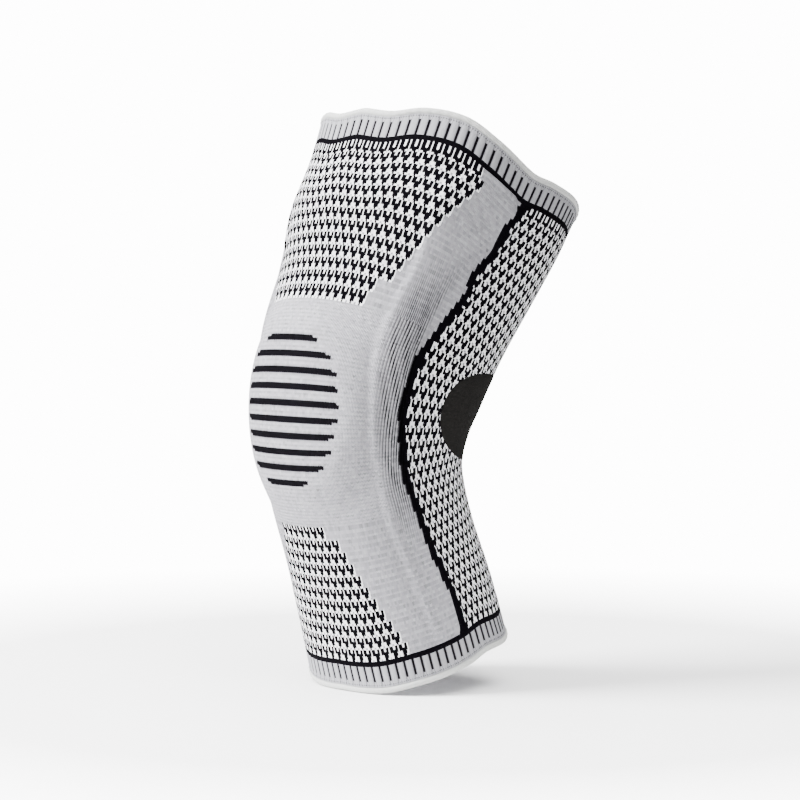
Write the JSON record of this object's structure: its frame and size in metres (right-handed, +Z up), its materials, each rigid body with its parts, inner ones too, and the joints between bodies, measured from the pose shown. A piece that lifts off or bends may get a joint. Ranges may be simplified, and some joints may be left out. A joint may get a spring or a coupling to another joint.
{
  "type": "knee brace",
  "caption": "Knitted knee sleeve brace with ribbed cuffs, a gel ring round the kneecap and flat spring stays in the sides.",
  "frame": {"origin": "middle of the knee hollow, at the height of the kneecap", "axes": "+Z up from the calf towards the thigh, +Y towards the back of the knee, so the kneecap faces -Y, +X to the wearer's left"},
  "size_m": [0.1416, 0.1798, 0.3069],
  "materials": {
    "grey_white_knit": "white, light grey and black knitted pattern, matt",
    "charcoal_fine_knit": "finer dark grey knit, matt",
    "pale_rib_knit": "pale grey ribbed knit with thin black lines, matt",
    "pale_hem_knit": "smooth pale rolled knit edge, matt",
    "clear_silicone_gel": "milky translucent silicone, soft gloss",
    "bright_spring_steel": "bright drawn wire",
    "natural_polypropylene": "pale translucent moulded plastic"
  },
  "bodies": {
    "root": {"sleeve": "grey_white_knit", "popliteal_panel": "charcoal_fine_knit", "thigh_cuff": "pale_rib_knit", "calf_cuff": "pale_rib_knit", "thigh_hem": "pale_hem_knit", "calf_hem": "pale_hem_knit", "patella_ring": "clear_silicone_gel", "right_stay_spring": "bright_spring_steel", "right_stay_loop": "natural_polypropylene", "right_stay_cap": "natural_polypropylene", "left_stay_spring": "bright_spring_steel", "left_stay_loop": "natural_polypropylene", "left_stay_cap": "natural_polypropylene"}
  },
  "joints": []
}
